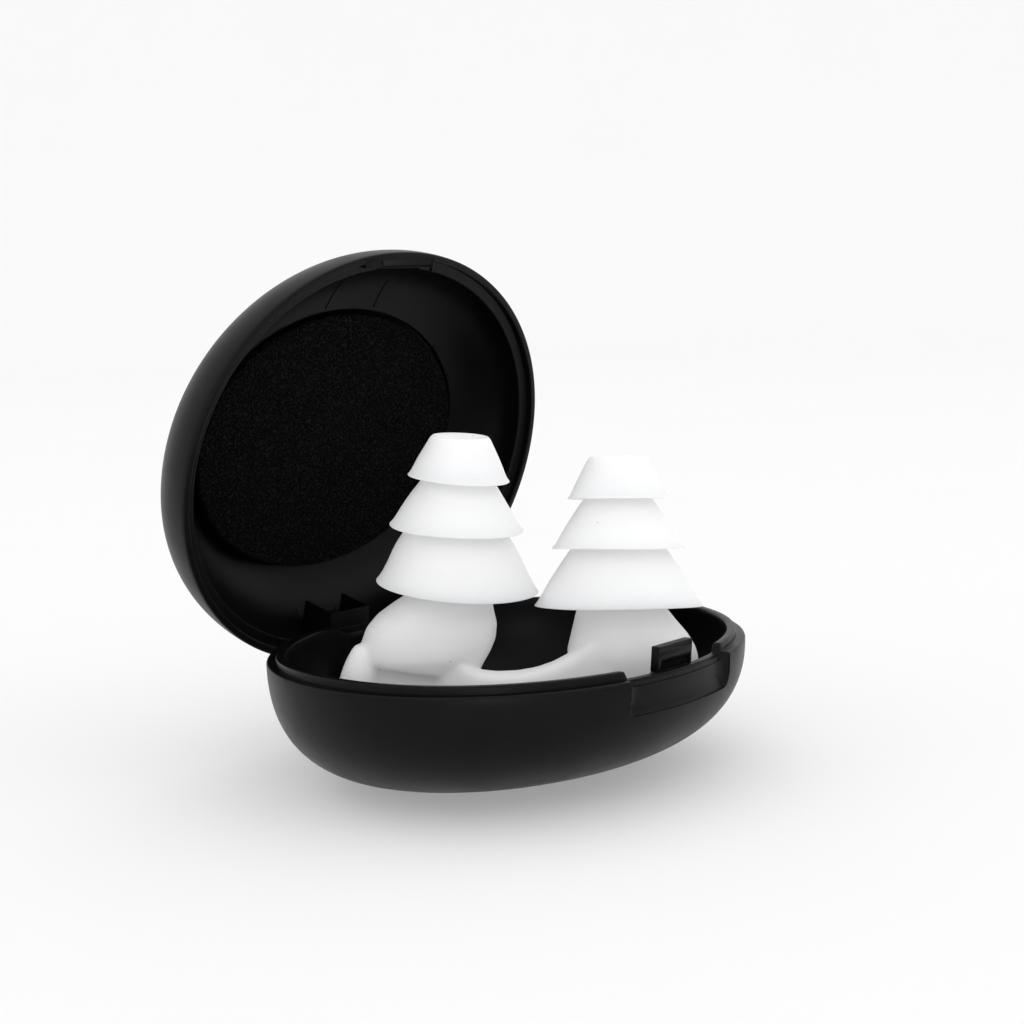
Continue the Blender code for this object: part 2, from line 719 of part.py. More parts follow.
def fin_mesh():
    """The foot that steadies the left body on the bowl."""
    return skin("fin", [oval(along, -near, z, half, deep) for z, along, half, deep, near in FIN])


def plug_carrier():
    """Both bodies, the strap, the fin and the posts that the plugs sit on: one moulding."""
    carrier = add_object("plug_carrier", plug_body("plug_carrier", LEFT_BODY), "white_silicone")
    boolean(carrier, add_cutter("right_body", plug_body("right_body", RIGHT_BODY)), "UNION")
    boolean(carrier, add_cutter("strap", strap_mesh()), "UNION")
    boolean(carrier, add_cutter("fin", fin_mesh()), "UNION")
    for side, name in ((-1, "left_post"), (1, "right_post")):
        seat, axis = plug_seat(side)
        post = rod_mesh(name, POST_RADIUS, seat - axis * 3.0 * MM, seat + axis * POST_TOP, 20)
        boolean(carrier, add_cutter(name, post), "UNION")
    return carrier


def main():
    clear_scene()
    base_shell()
    lid_shell()
    hinge_pin()
    latch_tab()
    foam_pad()
    pad_tape()
    plug_carrier()
    ear_plug("ear_plug_left", -1)
    ear_plug("ear_plug_right", 1)


main()
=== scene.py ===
"""Triple-flange silicone ear plugs standing in an open pocket case, dressed for the picture.

Shapes are drawn in case coordinates: millimetres, origin at the centre of the base's rim plane, +Y to the
hinge. to_part() places them in the frame, and lid_to_open() does so for what rides on the lid.
"""

from math import acos, asin, atan2, cos, degrees, exp, hypot, pi, radians, sin, sqrt

import bmesh
import bpy
from mathutils import Matrix, Vector, noise


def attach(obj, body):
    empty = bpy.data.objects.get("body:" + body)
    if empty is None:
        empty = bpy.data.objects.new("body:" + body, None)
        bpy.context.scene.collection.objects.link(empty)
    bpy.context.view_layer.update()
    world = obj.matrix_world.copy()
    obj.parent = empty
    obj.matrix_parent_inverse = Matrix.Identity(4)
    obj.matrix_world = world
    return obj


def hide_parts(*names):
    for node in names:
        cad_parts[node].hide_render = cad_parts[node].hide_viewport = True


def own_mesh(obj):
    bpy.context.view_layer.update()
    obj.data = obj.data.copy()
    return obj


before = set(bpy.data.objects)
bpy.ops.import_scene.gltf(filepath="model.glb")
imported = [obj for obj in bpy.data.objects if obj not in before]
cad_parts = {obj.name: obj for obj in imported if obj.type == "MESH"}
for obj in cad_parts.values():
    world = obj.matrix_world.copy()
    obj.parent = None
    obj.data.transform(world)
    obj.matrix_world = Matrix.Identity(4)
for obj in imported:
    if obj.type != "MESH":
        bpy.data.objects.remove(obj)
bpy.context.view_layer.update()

MM = 0.001

# The case. A dome is (depth, slope of the depth towards +Y, power of its rise, power of its plan).
HALF_LENGTH = 19.0
HALF_WIDTH = 16.93
OUTLINE_POWER = 2.034
WALL = 1.4
RIM_HEIGHT = 9.8
FOOT_Y = 5.9
BASE_DOME = (9.6, 0.082, 2.336, 3.53)
LID_DOME = (8.54, 0.07, 2.311, 3.645)
SEAM = 0.12
REBATE_INSET = 0.56
REBATE_HEIGHT = 0.78
HINGE_Y = 15.36
HINGE_Z = -2.27
LID_OPEN = 75.0
AROUND = 288

# ---------------------------------------------------------------- frame


def to_part(p):
    """A point of the case, in the frame's metres."""
    return Vector((p[0] * MM, (p[1] - FOOT_Y) * MM, (p[2] + RIM_HEIGHT) * MM))


def lid_to_open(p):
    """A point of the closed lid, turned about the hinge to where the open lid has it."""
    turn = radians(LID_OPEN)
    y, z = p[1] - HINGE_Y, p[2] - HINGE_Z
    return to_part((p[0], HINGE_Y + y * cos(turn) + z * sin(turn), HINGE_Z - y * sin(turn) + z * cos(turn)))


def smooth(value, low, high):
    """0 below low, 1 above high, eased between."""
    t = min(max((value - low) / (high - low), 0.0), 1.0)
    return t * t * (3 - 2 * t)


# ---------------------------------------------------------------- objects


def link(obj):
    bpy.context.scene.collection.objects.link(obj)
    return obj


def add_piece(name, mesh):
    return link(bpy.data.objects.new(name, mesh))


def claim(obj, body, slot, *nodes):
    """Puts a finished piece on its body, in place of the CAD nodes it stands for. The slot is not used."""
    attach(obj, body)
    if nodes:
        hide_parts(*nodes)


def mesh_from(name, verts, faces):
    """A mesh whose faces all look outwards."""
    mesh = bpy.data.meshes.new(name)
    mesh.from_pydata([tuple(v) for v in verts], [], faces)
    bm = bmesh.new()
    bm.from_mesh(mesh)
    bm.normal_update()
    bmesh.ops.recalc_face_normals(bm, faces=bm.faces)
    bm.to_mesh(mesh)
    bm.free()
    return mesh


def loft(name, rings, start, end, place):
    """A closed skin over rings of equal count, closed by a fan to a point at each end."""
    count = len(rings[0])
    verts = [place(p) for ring in rings for p in ring] + [place(start), place(end)]
    faces = []
    for k in range(len(rings) - 1):
        for i in range(count):
            j = (i + 1) % count
            faces.append((k * count + i, k * count + j, (k + 1) * count + j, (k + 1) * count + i))
    last = (len(rings) - 1) * count
    for i in range(count):
        j = (i + 1) % count
        faces.append((j, i, len(verts) - 2))
        faces.append((last + i, last + j, len(verts) - 1))
    return mesh_from(name, verts, faces)


def prism(name, outline, low, high, place, along="x"):
    """A slab: an outline pushed along one axis. The outline is (y, z) for x, (x, y) for z."""

    def point(a, b, t):
        return (t, a, b) if along == "x" else (a, b, t)

    count = len(outline)
    verts = [place(point(a, b, low)) for a, b in outline] + [place(point(a, b, high)) for a, b in outline]
    faces = [tuple(range(count)), tuple(range(2 * count - 1, count - 1, -1))]
    faces += [(i, (i + 1) % count, count + (i + 1) % count, count + i) for i in range(count)]
    return mesh_from(name, verts, faces)


def end_points(rings):
    """The middles of the first and the last ring."""
    return [sum(ring, Vector()) / len(ring) for ring in (rings[0], rings[-1])]


def rod(name, radius, start, end, sides, place):
    """A round bar between two points."""
    start, end = Vector(start), Vector(end)
    turn = Vector((0, 0, 1)).rotation_difference(end - start)
    rings = []
    for centre in (start, end):
        ring = []
        for i in range(sides):
            a = 2 * pi * i / sides
            ring.append(centre + turn @ Vector((radius * cos(a), radius * sin(a), 0)))
        rings.append(ring)
    return loft(name, rings, start, end, place)


def combine(obj, mesh, operation):
    """A Boolean with a throwaway object, applied at once."""
    other = add_piece(mesh.name, mesh)
    modifier = obj.modifiers.new("combine", "BOOLEAN")
    modifier.operation = operation
    modifier.object = other
    modifier.solver = "EXACT"
    apply_modifiers(obj)
    bpy.data.objects.remove(other, do_unlink=True)


def apply_modifiers(obj):
    """Replaces the mesh by what its modifiers make of it."""
    bpy.context.view_layer.update()
    graph = bpy.context.evaluated_depsgraph_get()
    mesh = bpy.data.meshes.new_from_object(obj.evaluated_get(graph))
    obj.modifiers.clear()
    old = obj.data
    obj.data = mesh
    bpy.data.meshes.remove(old)


def round_edges(obj, width, angle=38.0):
    """Rounds every edge that turns by more than angle."""
    modifier = obj.modifiers.new("round", "BEVEL")
    modifier.width = width * MM
    modifier.segments = 3
    modifier.limit_method = "ANGLE"
    modifier.angle_limit = radians(angle)
    modifier.use_clamp_overlap = False
    modifier.miter_outer = "MITER_ARC"
    apply_modifiers(obj)


def finish_surface(obj, material, angle=40.0):
    """One material all over, smooth but for the edges that turn by more than angle."""
    obj.data.materials.clear()
    obj.data.materials.append(material)
    obj.data.shade_smooth()
    obj.data.set_sharp_from_angle(angle=radians(angle))


# ---------------------------------------------------------------- materials


def new_material(name):
    """A material, its node tree and its Principled shader."""
    material = bpy.data.materials.new(name)
    material.use_nodes = True
    tree = material.node_tree
    return material, tree, tree.nodes["Principled BSDF"]


def coordinates(tree):
    """Object coordinates, which stay with a piece as it moves."""
    return tree.nodes.new("ShaderNodeTexCoord").outputs["Object"]


def noise_node(tree, vector, scale, detail=3.0, roughness=0.55):
    node = tree.nodes.new("ShaderNodeTexNoise")
    node.inputs["Scale"].default_value = scale
    node.inputs["Detail"].default_value = detail
    node.inputs["Roughness"].default_value = roughness
    tree.links.new(vector, node.inputs["Vector"])
    return node.outputs["Fac"]


def cell_node(tree, vector, scale, feature="F1"):
    node = tree.nodes.new("ShaderNodeTexVoronoi")
    node.feature = feature
    node.inputs["Scale"].default_value = scale
    tree.links.new(vector, node.inputs["Vector"])
    return node.outputs["Distance"]


def remap(tree, value, low, high, new_low, new_high):
    """Takes low..high to new_low..new_high."""
    node = tree.nodes.new("ShaderNodeMapRange")
    for key, number in (("From Min", low), ("From Max", high), ("To Min", new_low), ("To Max", new_high)):
        node.inputs[key].default_value = number
    tree.links.new(value, node.inputs["Value"])
    return node.outputs["Result"]


def mix_colour(tree, value, first, second):
    """From first to second as value goes from 0 to 1. Each is a colour or another node's output."""
    node = tree.nodes.new("ShaderNodeMix")
    node.data_type = "RGBA"
    for socket, colour in ((node.inputs[6], first), (node.inputs[7], second)):
        if isinstance(colour, tuple):
            socket.default_value = (*colour, 1.0)
        else:
            tree.links.new(colour, socket)
    tree.links.new(value, node.inputs[0])
    return node.outputs[2]


def bump(tree, height, strength, distance, normal=None):
    node = tree.nodes.new("ShaderNodeBump")
    node.inputs["Strength"].default_value = strength
    node.inputs["Distance"].default_value = distance
    tree.links.new(height, node.inputs["Height"])
    if normal:
        tree.links.new(normal, node.inputs["Normal"])
    return node.outputs["Normal"]


def moulded_black():
    """Satin black plastic: fine spark-eroded grain, faint flow mottling, uneven gloss."""
    material, tree, shader = new_material("moulded_black")
    where = coordinates(tree)
    mottle = noise_node(tree, where, 260.0, 4.0)
    grain = noise_node(tree, where, 5200.0, 2.0)
    colour = mix_colour(tree, mottle, (0.0012, 0.0012, 0.0013), (0.0024, 0.0024, 0.0026))
    tree.links.new(colour, shader.inputs["Base Color"])
    tree.links.new(remap(tree, mottle, 0.3, 0.7, 0.33, 0.42), shader.inputs["Roughness"])
    tree.links.new(bump(tree, grain, 0.16, 0.00003), shader.inputs["Normal"])
    shader.inputs["Specular IOR Level"].default_value = 0.12
    return material


def open_foam():
    """Black open-cell foam: fine cells whose mouths are painted darker as shade in the pores, with paler struts
    between.
    """
    material, tree, shader = new_material("open_foam")
    where = coordinates(tree)
    cells = cell_node(tree, where, 6200.0)
    fine = noise_node(tree, where, 12000.0, 2.0, 0.6)
    drift = noise_node(tree, where, 420.0, 3.0)
    # Painted shade: the colour is darkest at each cell's middle, standing for the shade inside the pores, and
    # paler towards the struts.
    pore_shade_mask = remap(tree, cells, 0.35, 0.9, 0.0, 1.0)
    colour = mix_colour(tree, pore_shade_mask, (0.0002, 0.0002, 0.0002), (0.0105, 0.0105, 0.0107))
    tree.links.new(colour, shader.inputs["Base Color"])
    tree.links.new(remap(tree, drift, 0.3, 0.7, 0.86, 0.98), shader.inputs["Roughness"])
    first = bump(tree, cells, 0.8, 0.00006)
    tree.links.new(bump(tree, fine, 0.5, 0.00003, first), shader.inputs["Normal"])
    shader.inputs["Specular IOR Level"].default_value = 0.03
    return material


def soft_silicone():
    """Milky white silicone: soft gloss, slight translucency, a faint painted glow that lifts its shade, powdery
    bloom and a few specks of dust.
    """
    material, tree, shader = new_material("soft_silicone")
    where = coordinates(tree)
    bloom = noise_node(tree, where, 330.0, 4.0)
    skin = noise_node(tree, where, 3400.0, 3.0)
    dust = cell_node(tree, where, 520.0)
    tone = mix_colour(tree, bloom, (0.70, 0.702, 0.706), (0.75, 0.752, 0.754))
    colour = mix_colour(tree, remap(tree, dust, 0.022, 0.034, 0.0, 1.0), (0.35, 0.33, 0.31), tone)
    tree.links.new(colour, shader.inputs["Base Color"])
    tree.links.new(remap(tree, bloom, 0.3, 0.7, 0.42, 0.52), shader.inputs["Roughness"])
    tree.links.new(bump(tree, skin, 0.1, 0.00003), shader.inputs["Normal"])
    shader.inputs["Subsurface Weight"].default_value = 0.7
    shader.inputs["Subsurface Radius"].default_value = (0.0024, 0.0022, 0.002)
    shader.inputs["Subsurface Scale"].default_value = 1.0
    # Painted light: a faint white glow that lifts the silicone's shade; the silicone is no lamp.
    shader.inputs["Emission Color"].default_value = (1.0, 1.0, 1.0, 1.0)
    shader.inputs["Emission Strength"].default_value = 0.14
    shader.inputs["IOR"].default_value = 1.41
    return material


def drawn_steel():
    """Steel wire with drawing lines along X."""
    material, tree, shader = new_material("drawn_steel")
    mapping = tree.nodes.new("ShaderNodeMapping")
    mapping.inputs["Scale"].default_value = (120.0, 6000.0, 6000.0)
    tree.links.new(coordinates(tree), mapping.inputs["Vector"])
    lines = noise_node(tree, mapping.outputs["Vector"], 1.0, 3.0)
    colour = mix_colour(tree, lines, (0.42, 0.42, 0.43), (0.6, 0.6, 0.61))
    tree.links.new(colour, shader.inputs["Base Color"])
    tree.links.new(remap(tree, lines, 0.3, 0.7, 0.22, 0.4), shader.inputs["Roughness"])
    tree.links.new(bump(tree, lines, 0.2, 0.00001), shader.inputs["Normal"])
    shader.inputs["Metallic"].default_value = 1.0
    return material


def adhesive_film():
    """Dark adhesive film, slightly wrinkled."""
    material, tree, shader = new_material("adhesive_film")
    wrinkles = noise_node(tree, coordinates(tree), 900.0, 4.0)
    colour = mix_colour(tree, wrinkles, (0.03, 0.03, 0.03), (0.07, 0.07, 0.068))
    tree.links.new(colour, shader.inputs["Base Color"])
    tree.links.new(remap(tree, wrinkles, 0.3, 0.7, 0.5, 0.75), shader.inputs["Roughness"])
    tree.links.new(bump(tree, wrinkles, 0.3, 0.00004), shader.inputs["Normal"])
    return material


def paper_floor():
    """Matt white sheet that lets some light through, which keeps the shadow on it soft."""
    material, tree, shader = new_material("paper_floor")
    drift = noise_node(tree, coordinates(tree), 14.0, 3.0)
    colour = mix_colour(tree, drift, (0.90, 0.90, 0.90), (0.92, 0.92, 0.92))
    tree.links.new(colour, shader.inputs["Base Color"])
    tree.links.new(remap(tree, drift, 0.3, 0.7, 0.8, 0.9), shader.inputs["Roughness"])
    shader.inputs["Specular IOR Level"].default_value = 0.1
    glow = tree.nodes.new("ShaderNodeBsdfTranslucent")
    glow.inputs["Color"].default_value = (0.92, 0.92, 0.92, 1.0)
    blend = tree.nodes.new("ShaderNodeMixShader")
    blend.inputs[0].default_value = 0.3
    tree.links.new(shader.outputs[0], blend.inputs[1])
    tree.links.new(glow.outputs[0], blend.inputs[2])
    tree.links.new(blend.outputs[0], tree.nodes["Material Output"].inputs["Surface"])
    return material


BLACK = moulded_black()
FOAM = open_foam()
WHITE = soft_silicone()
STEEL = drawn_steel()
FILM = adhesive_film()


# ---------------------------------------------------------------- camera, light, floor

# The viewpoint, in case coordinates.
CAMERA_AT = (-96.92, -87.62, 26.28)
CAMERA_RIGHT = (0.6641, -0.7469, -0.0334)
CAMERA_UP = (0.1152, 0.0581, 0.9916)
CAMERA_BACK = (-0.7387, -0.6624, 0.1246)
CAMERA_LENS = 61.732

# Lamps: name, place in metres, diameter in metres, power in watts. All face the case.
LAMPS = (
    ("key", (-0.45, -0.30, 0.42), 0.3, 0.28),
    ("fill", (0.15, -0.55, 0.38), 0.35, 0.12),
    ("front", (-0.40, -0.42, 0.07), 0.2, 0.32),
)
LAMP_AIM = (0, 0, 0.01)
SKY_STRENGTH = 1.06

FLOOR_RADIUS = 0.75
FLOOR_COVE = 0.3
FLOOR_WALL_TOP = 0.42
FLOOR_SIDES = 96


def make_camera():
    data = bpy.data.cameras.new("camera")
    data.lens = CAMERA_LENS
    data.sensor_width = 36.0
    data.clip_start = 0.005
    data.clip_end = 20.0
    camera = link(bpy.data.objects.new("camera", data))
    turn = Matrix((CAMERA_RIGHT, CAMERA_UP, CAMERA_BACK)).transposed()
    camera.matrix_world = Matrix.Translation(to_part(CAMERA_AT)) @ turn.to_4x4()
    bpy.context.scene.camera = camera


def make_light():
    """A white room with three round soft lamps."""
    world = bpy.data.worlds.new("studio")
    world.use_nodes = True
    background = world.node_tree.nodes["Background"]
    background.inputs["Color"].default_value = (1.0, 1.0, 1.0, 1.0)
    background.inputs["Strength"].default_value = SKY_STRENGTH
    bpy.context.scene.world = world
    for name, at, size, power in LAMPS:
        data = bpy.data.lights.new(name, "AREA")
        data.shape = "DISK"
        data.size = size
        data.energy = power
        light = link(bpy.data.objects.new(name, data))
        light.location = at
        light.rotation_euler = (Vector(LAMP_AIM) - Vector(at)).to_track_quat("-Z", "Y").to_euler()
    bpy.context.scene.view_settings.view_transform = "Standard"


def make_floor():
    """A round sweep: a flat floor that curves up into a low wall all the way round."""
    profile = [(FLOOR_RADIUS * (i / 12) ** 1.6, 0.0) for i in range(1, 13)]
    for i in range(1, 17):
        a = radians(90 * i / 16)
        profile.append((FLOOR_RADIUS + FLOOR_COVE * sin(a), FLOOR_COVE * (1 - cos(a))))
    profile.append((FLOOR_RADIUS + FLOOR_COVE, FLOOR_WALL_TOP))
    turns = [2 * pi * i / FLOOR_SIDES for i in range(FLOOR_SIDES)]
    verts = [(0.0, 0.0, 0.0)] + [(r * cos(a), r * sin(a), z) for r, z in profile for a in turns]
    faces = [(0, 1 + i, 1 + (i + 1) % FLOOR_SIDES) for i in range(FLOOR_SIDES)]
    for k in range(len(profile) - 1):
        a, b = 1 + k * FLOOR_SIDES, 1 + (k + 1) * FLOOR_SIDES
        for i in range(FLOOR_SIDES):
            j = (i + 1) % FLOOR_SIDES
            faces.append((a + i, b + i, b + j, a + j))
    mesh = bpy.data.meshes.new("floor")
    mesh.from_pydata(verts, [], faces)
    mesh.shade_smooth()
    floor = add_piece("floor", mesh)
    mesh.materials.append(paper_floor())


# ---------------------------------------------------------------- shells


def signed_power(value, power):
    """A power that keeps the sign."""
    return (1 if value >= 0 else -1) * abs(value) ** power


def turn_at(x, side):
    """The outline angle at which the outline reaches x, on the hinge side (+1) or the latch side (-1)."""
    share = (abs(x) / HALF_LENGTH) ** (OUTLINE_POWER / 2)
    turn = asin(share) if x >= 0 else -asin(share)
    return (pi / 2 - turn) * side % (2 * pi)


# Columns of the skin: even steps, with closer ones where the recess in the front wall ends.
CLOSE_X = (
    4.5, 4.7, 4.9, 5.02, 5.1, 5.2, 5.3, 5.4, 5.48, 5.55, 5.61, 5.66, 5.70, 5.73, 5.745, 5.755, 5.78, 5.83, 5.95,
)


def column_turns():
    """Outline angles of the columns; an even one gives way where a close one is near."""
    marks = [turn_at(side * x, -1) for side in (-1, 1) for x in CLOSE_X]
    turns = [2 * pi * i / AROUND for i in range(AROUND)]
    step = 2 * pi / AROUND
    turns = [t for t in turns if min(abs(t - m) for m in marks) > 0.45 * step]
    return sorted(turns + marks)


TURNS = column_turns()


def outline_ring(inset, z):
    """The case outline pulled in by inset along its own normal."""
    ring = []
    for turn in TURNS:
        x = HALF_LENGTH * signed_power(cos(turn), 2 / OUTLINE_POWER)
        y = HALF_WIDTH * signed_power(sin(turn), 2 / OUTLINE_POWER)
        nx = signed_power(x / HALF_LENGTH, OUTLINE_POWER - 1) / HALF_LENGTH
        ny = signed_power(y / HALF_WIDTH, OUTLINE_POWER - 1) / HALF_WIDTH
        size = hypot(nx, ny)
        ring.append(Vector((x - inset * nx / size, y - inset * ny / size, z)))
    return ring


def dome_ring(elevation, inset, depth, slope, rise_power, plan_power, lift, limit=99.0):
    """One ring of a dome over the outline, at an elevation in degrees, flattened at limit."""
    angle = radians(elevation)
    reach = cos(angle) ** (2 / plan_power)
    rise = sin(angle) ** (2 / rise_power)
    ring = []
    for point in outline_ring(inset, 0.0):
        x, y = point.x * reach, point.y * reach
        ring.append(Vector((x, y, lift + min((depth + slope * y) * rise, limit))))
    return ring


def flip(ring):
    return [Vector((p.x, p.y, -p.z)) for p in ring]


def elevations(start, end, count):
    """Even steps from start to end."""
    return [start + (end - start) * i / (count - 1) for i in range(count)]


# Thumb recess in the front wall, below the gap of the lip.
RECESS_EDGE = 5.75
RECESS_FOOT = -2.53
RECESS_DEPTH = 0.6
RECESS_FILLET = 1.25
RECESS_CORNER = 0.6
# The lip ends at the gap, between these distances from the middle, and is half as high at the back.
LIP_END = (5.15, 5.65)
LIP_BACK_SHARE = 0.5
LIP_BACK_EASE = (3.0, 12.0)
# How far the wall's inner face drops with the gap, and how deep that is felt.
GAP_DROP = 0.26
GAP_REACH = 0.6
# Notch in the back rim for the hinge lug.
NOTCH_DEPTH = 0.45
NOTCH_EASE = (3.9, 4.5)
NOTCH_REACH = 1.6
# Thicker wall in front of the hinge pin.
HOUSING_EASE = (3.2, 6.8)
HOUSING_FALL = (0.3, 3.0)
HOUSING_DEPTH = 1.5
# Rows of the outer skin near the rim, as depths below it where the front wall is.
ROW_HEIGHTS = (
    3.1, 2.85, 2.68, 2.59, 2.545, 2.525, 2.505, 2.47, 2.42, 2.35,
    2.26, 2.15, 2.02, 1.87, 1.7, 1.5, 1.25, 1.0, 0.8, 0.68,
)
ROW_Y = 16.5
BOWL_ROWS = 40

# The wall's top from outside to inside, as (inset, height): round the case, and in the gap of the lip.
RIM_LINE = (
    (0.005, -0.16), (0.04, -0.07), (0.11, -0.015), (0.2, 0.0), (0.45, 0.0), (0.64, 0.0),
    (0.70, 0.03), (0.71, 0.12), (0.715, 0.38), (0.74, 0.49), (0.80, 0.56), (0.88, 0.58),
    (1.1, 0.58), (1.25, 0.565), (1.34, 0.52), (1.385, 0.44), (1.4, 0.3),
)
GAP_LINE = (
    (0.60, -0.60), (0.60, -0.56), (0.64, -0.545), (0.67, -0.53), (0.67, -0.46), (0.64, -0.44),
    (0.64, -0.40), (0.67, -0.36), (0.80, -0.30), (0.85, -0.28), (0.855, -0.14), (0.87, -0.09),
    (0.92, -0.06), (1.25, -0.06), (1.34, -0.075), (1.385, -0.12), (1.4, -0.2),
)


def recess_share(x, z):
    """How far the front recess has sunk: 0 at its crisp edge, 1 past the round inner corner."""
    side = RECESS_EDGE - abs(x)
    up = z - RECESS_FOOT
    inside = min(side, up)
    if side < RECESS_CORNER and up < RECESS_CORNER:
        inside = RECESS_CORNER - hypot(RECESS_CORNER - side, RECESS_CORNER - up)
    t = min(max(inside / RECESS_FILLET, 0.0), 1.0)
    return sqrt(1 - (1 - t) ** 2)


def rim_spread(ring, z_normal, z_gap):
    """Sets the heights of a ring of the rim: the lip, lower towards the hinge, and the gap at the front."""
    for p in ring:
        gap = 1 - smooth(abs(p.x), *LIP_END) if p.y < 0.0 else 0.0
        high = z_normal
        if high > 0.0:
            high *= 1 - LIP_BACK_SHARE * smooth(p.y, *LIP_BACK_EASE)
        p.z = high + (z_gap - high) * gap


def cut_notch(ring):
    """Lowers the back of the rim where the hinge lug passes."""
    for p in ring:
        if p.y > 0.0 and abs(p.x) < NOTCH_EASE[1] and p.z > -NOTCH_REACH:
            drop = NOTCH_DEPTH * (1 - smooth(abs(p.x), *NOTCH_EASE))
            p.z -= drop * (1 + min(p.z, 0.0) / NOTCH_REACH)


def swell_housing(ring, inset):
    """Thickens the back wall in front of the hinge pin, eased into the wall at both ends and below."""
    share = min(inset / WALL, 1.0) ** 2
    for p in ring:
        if p.y > 0.0 and abs(p.x) < HOUSING_EASE[1]:
            amount = (1 - smooth(abs(p.x), *HOUSING_EASE)) * (1 - smooth(HINGE_Z - p.z, *HOUSING_FALL))
            wall_y = p.y - (WALL - inset)
            p.y += min(HINGE_Y - HOUSING_DEPTH - wall_y, 0.0) * share * amount


def base_mesh():
    """The bowl's skin: outer face from the foot up, over the rim, and down the inner face."""
    depth, slope, rise, plan = BASE_DOME
    outer = (0.0, depth, slope, rise, plan, 0.0, RIM_HEIGHT)
    inner = (WALL, depth - WALL, slope, rise, plan, 0.0, RIM_HEIGHT - WALL)
    rings = [flip(dome_ring(a, *outer)) for a in elevations(88.5, 19.6, BOWL_ROWS)]
    insets = [0.0] * (BOWL_ROWS + len(ROW_HEIGHTS))
    for height in ROW_HEIGHTS:
        angle = degrees(asin((height / (depth - slope * ROW_Y)) ** (rise / 2)))
        ring = flip(dome_ring(angle, *outer))
        for p in ring:
            if p.y < 0.0 and abs(p.x) < RECESS_EDGE:
                p.y += RECESS_DEPTH * recess_share(p.x, p.z)
        rings.append(ring)
    for (inset, z), (gap_inset, gap_z) in zip(RIM_LINE, GAP_LINE):
        ring = outline_ring(inset, z)
        for p in ring:
            if p.y < 0.0 and abs(p.x) < RECESS_EDGE and gap_inset > inset:
                p.y += (gap_inset - inset) * recess_share(p.x, 0.0)
        rim_spread(ring, z, gap_z)
        rings.append(ring)
        insets.append(inset)
    for angle in elevations(1.2, 30.0, 30) + elevations(31.5, 88.0, 30):
        ring = flip(dome_ring(angle, *inner))
        for p in ring:
            if p.y < 0.0 and p.z > -GAP_REACH:
                gap = 1 - smooth(abs(p.x), *LIP_END)
                p.z -= GAP_DROP * gap * (1 + p.z / GAP_REACH)
        rings.append(ring)
        insets.append(WALL)
    for ring, inset in zip(rings, insets):
        cut_notch(ring)
        swell_housing(ring, inset)
    return loft("case_base", rings, (0, 0, -depth), (0, 0, -(depth - WALL)), to_part)


def lid_mesh():
    """The lid's skin: outer face from the top down, over the rim with its rebate, and up the inner face."""
    depth, slope, rise, plan = LID_DOME
    outer = (0.0, depth - SEAM, slope, rise, plan, SEAM)
    inner = (WALL, depth - WALL - REBATE_HEIGHT, slope, rise, plan, REBATE_HEIGHT)
    rings = [dome_ring(a, *outer) for a in elevations(88.5, 2.0, 44)]
    profile = [
        (0.005, SEAM + 0.13), (0.03, SEAM + 0.05), (0.08, SEAM + 0.01), (0.16, SEAM), (0.42, SEAM),
        (0.50, SEAM + 0.01), (0.545, SEAM + 0.06), (REBATE_INSET, SEAM + 0.14), (REBATE_INSET, 0.66),
        (0.58, 0.75), (0.63, REBATE_HEIGHT), (1.2, REBATE_HEIGHT), (1.33, 0.79), (1.39, 0.84),
    ]
    rings += [outline_ring(inset, z) for inset, z in profile]
    rings += [dome_ring(a, *inner) for a in elevations(1.2, 88.0, 36)]
    return loft("case_lid", rings, (0, 0, depth), (0, 0, depth - WALL), lid_to_open)


LUG_HALF = 2.1
LUG_RADIUS = 1.0
LUG_WALL = 0.16
SLOT_GAP = 0.25
PIN_HALF = 3.1
PIN_RADIUS = 0.5
PIN_HOLE = 0.58
PIN_END_GAP = 0.1
PIN_ENDS = [(-PIN_HALF, HINGE_Y, HINGE_Z), (PIN_HALF, HINGE_Y, HINGE_Z)]
TRIM_HALF = 8.6
TRIM_GAP = 0.12
CATCH_LEFT = -4.1
CATCH_RIGHT = 3.25
RIB_HALF = 2.05
MOULD_LINE_X = 2.48
MOULD_LINE_SPREAD = 0.14
MOULD_LINE_Y = (-13.75, -11.2)
MOULD_LINE_HALF = 0.05
MOULD_LINE_STEPS = 24

# Snap tab, in the gap of the lip.
TAB_FRONT = -15.58
TAB_BACK = -14.87
TAB_LEFT = -1.92
TAB_RIGHT = 1.96
TAB_FOOT = -0.16
TAB_TOP = 1.6
TAB_LEAN = 0.13
TAB_EDGE = 0.15
TAB_FRAME = 0.25
# Front of the tab's nose, as (y, z) from the top down to the undercut.
TAB_NOSE = (
    (TAB_FRONT, TAB_TOP), (TAB_FRONT, 1.43), (-15.5, 1.37), (-15.56, 1.3), (-15.6, 1.15), (-15.62, 0.95),
    (-15.6, 0.78), (-15.53, 0.62), (-15.43, 0.45), (-15.33, 0.3), (-15.3, 0.12), (-15.3, TAB_FOOT),
)

# Foam pad, and the dish in the lid that it is glued into.
DISH_HALF_LENGTH = 14.0
DISH_HALF_WIDTH = 11.08
DISH_DEPTH = 0.45
PAD_HALF_LENGTH = 13.65
PAD_HALF_WIDTH = 10.7
PAD_FACE = 5.3
PAD_SIDES = 288
TAPE = 0.2
TAPE_GAP = 0.12


def arc(centre, radius, start, end, steps):
    """Points on an arc, from one angle in degrees to another."""
    points = []
    for i in range(steps + 1):
        a = radians(start + (end - start) * i / steps)
        points.append((centre[0] + radius * cos(a), centre[1] + radius * sin(a)))
    return points


def hinge_arc(radius, start, end, steps):
    """Points (y, z) on an arc about the hinge axis, in degrees from +Y towards +Z."""
    return arc((HINGE_Y, HINGE_Z), radius, start, end, steps)


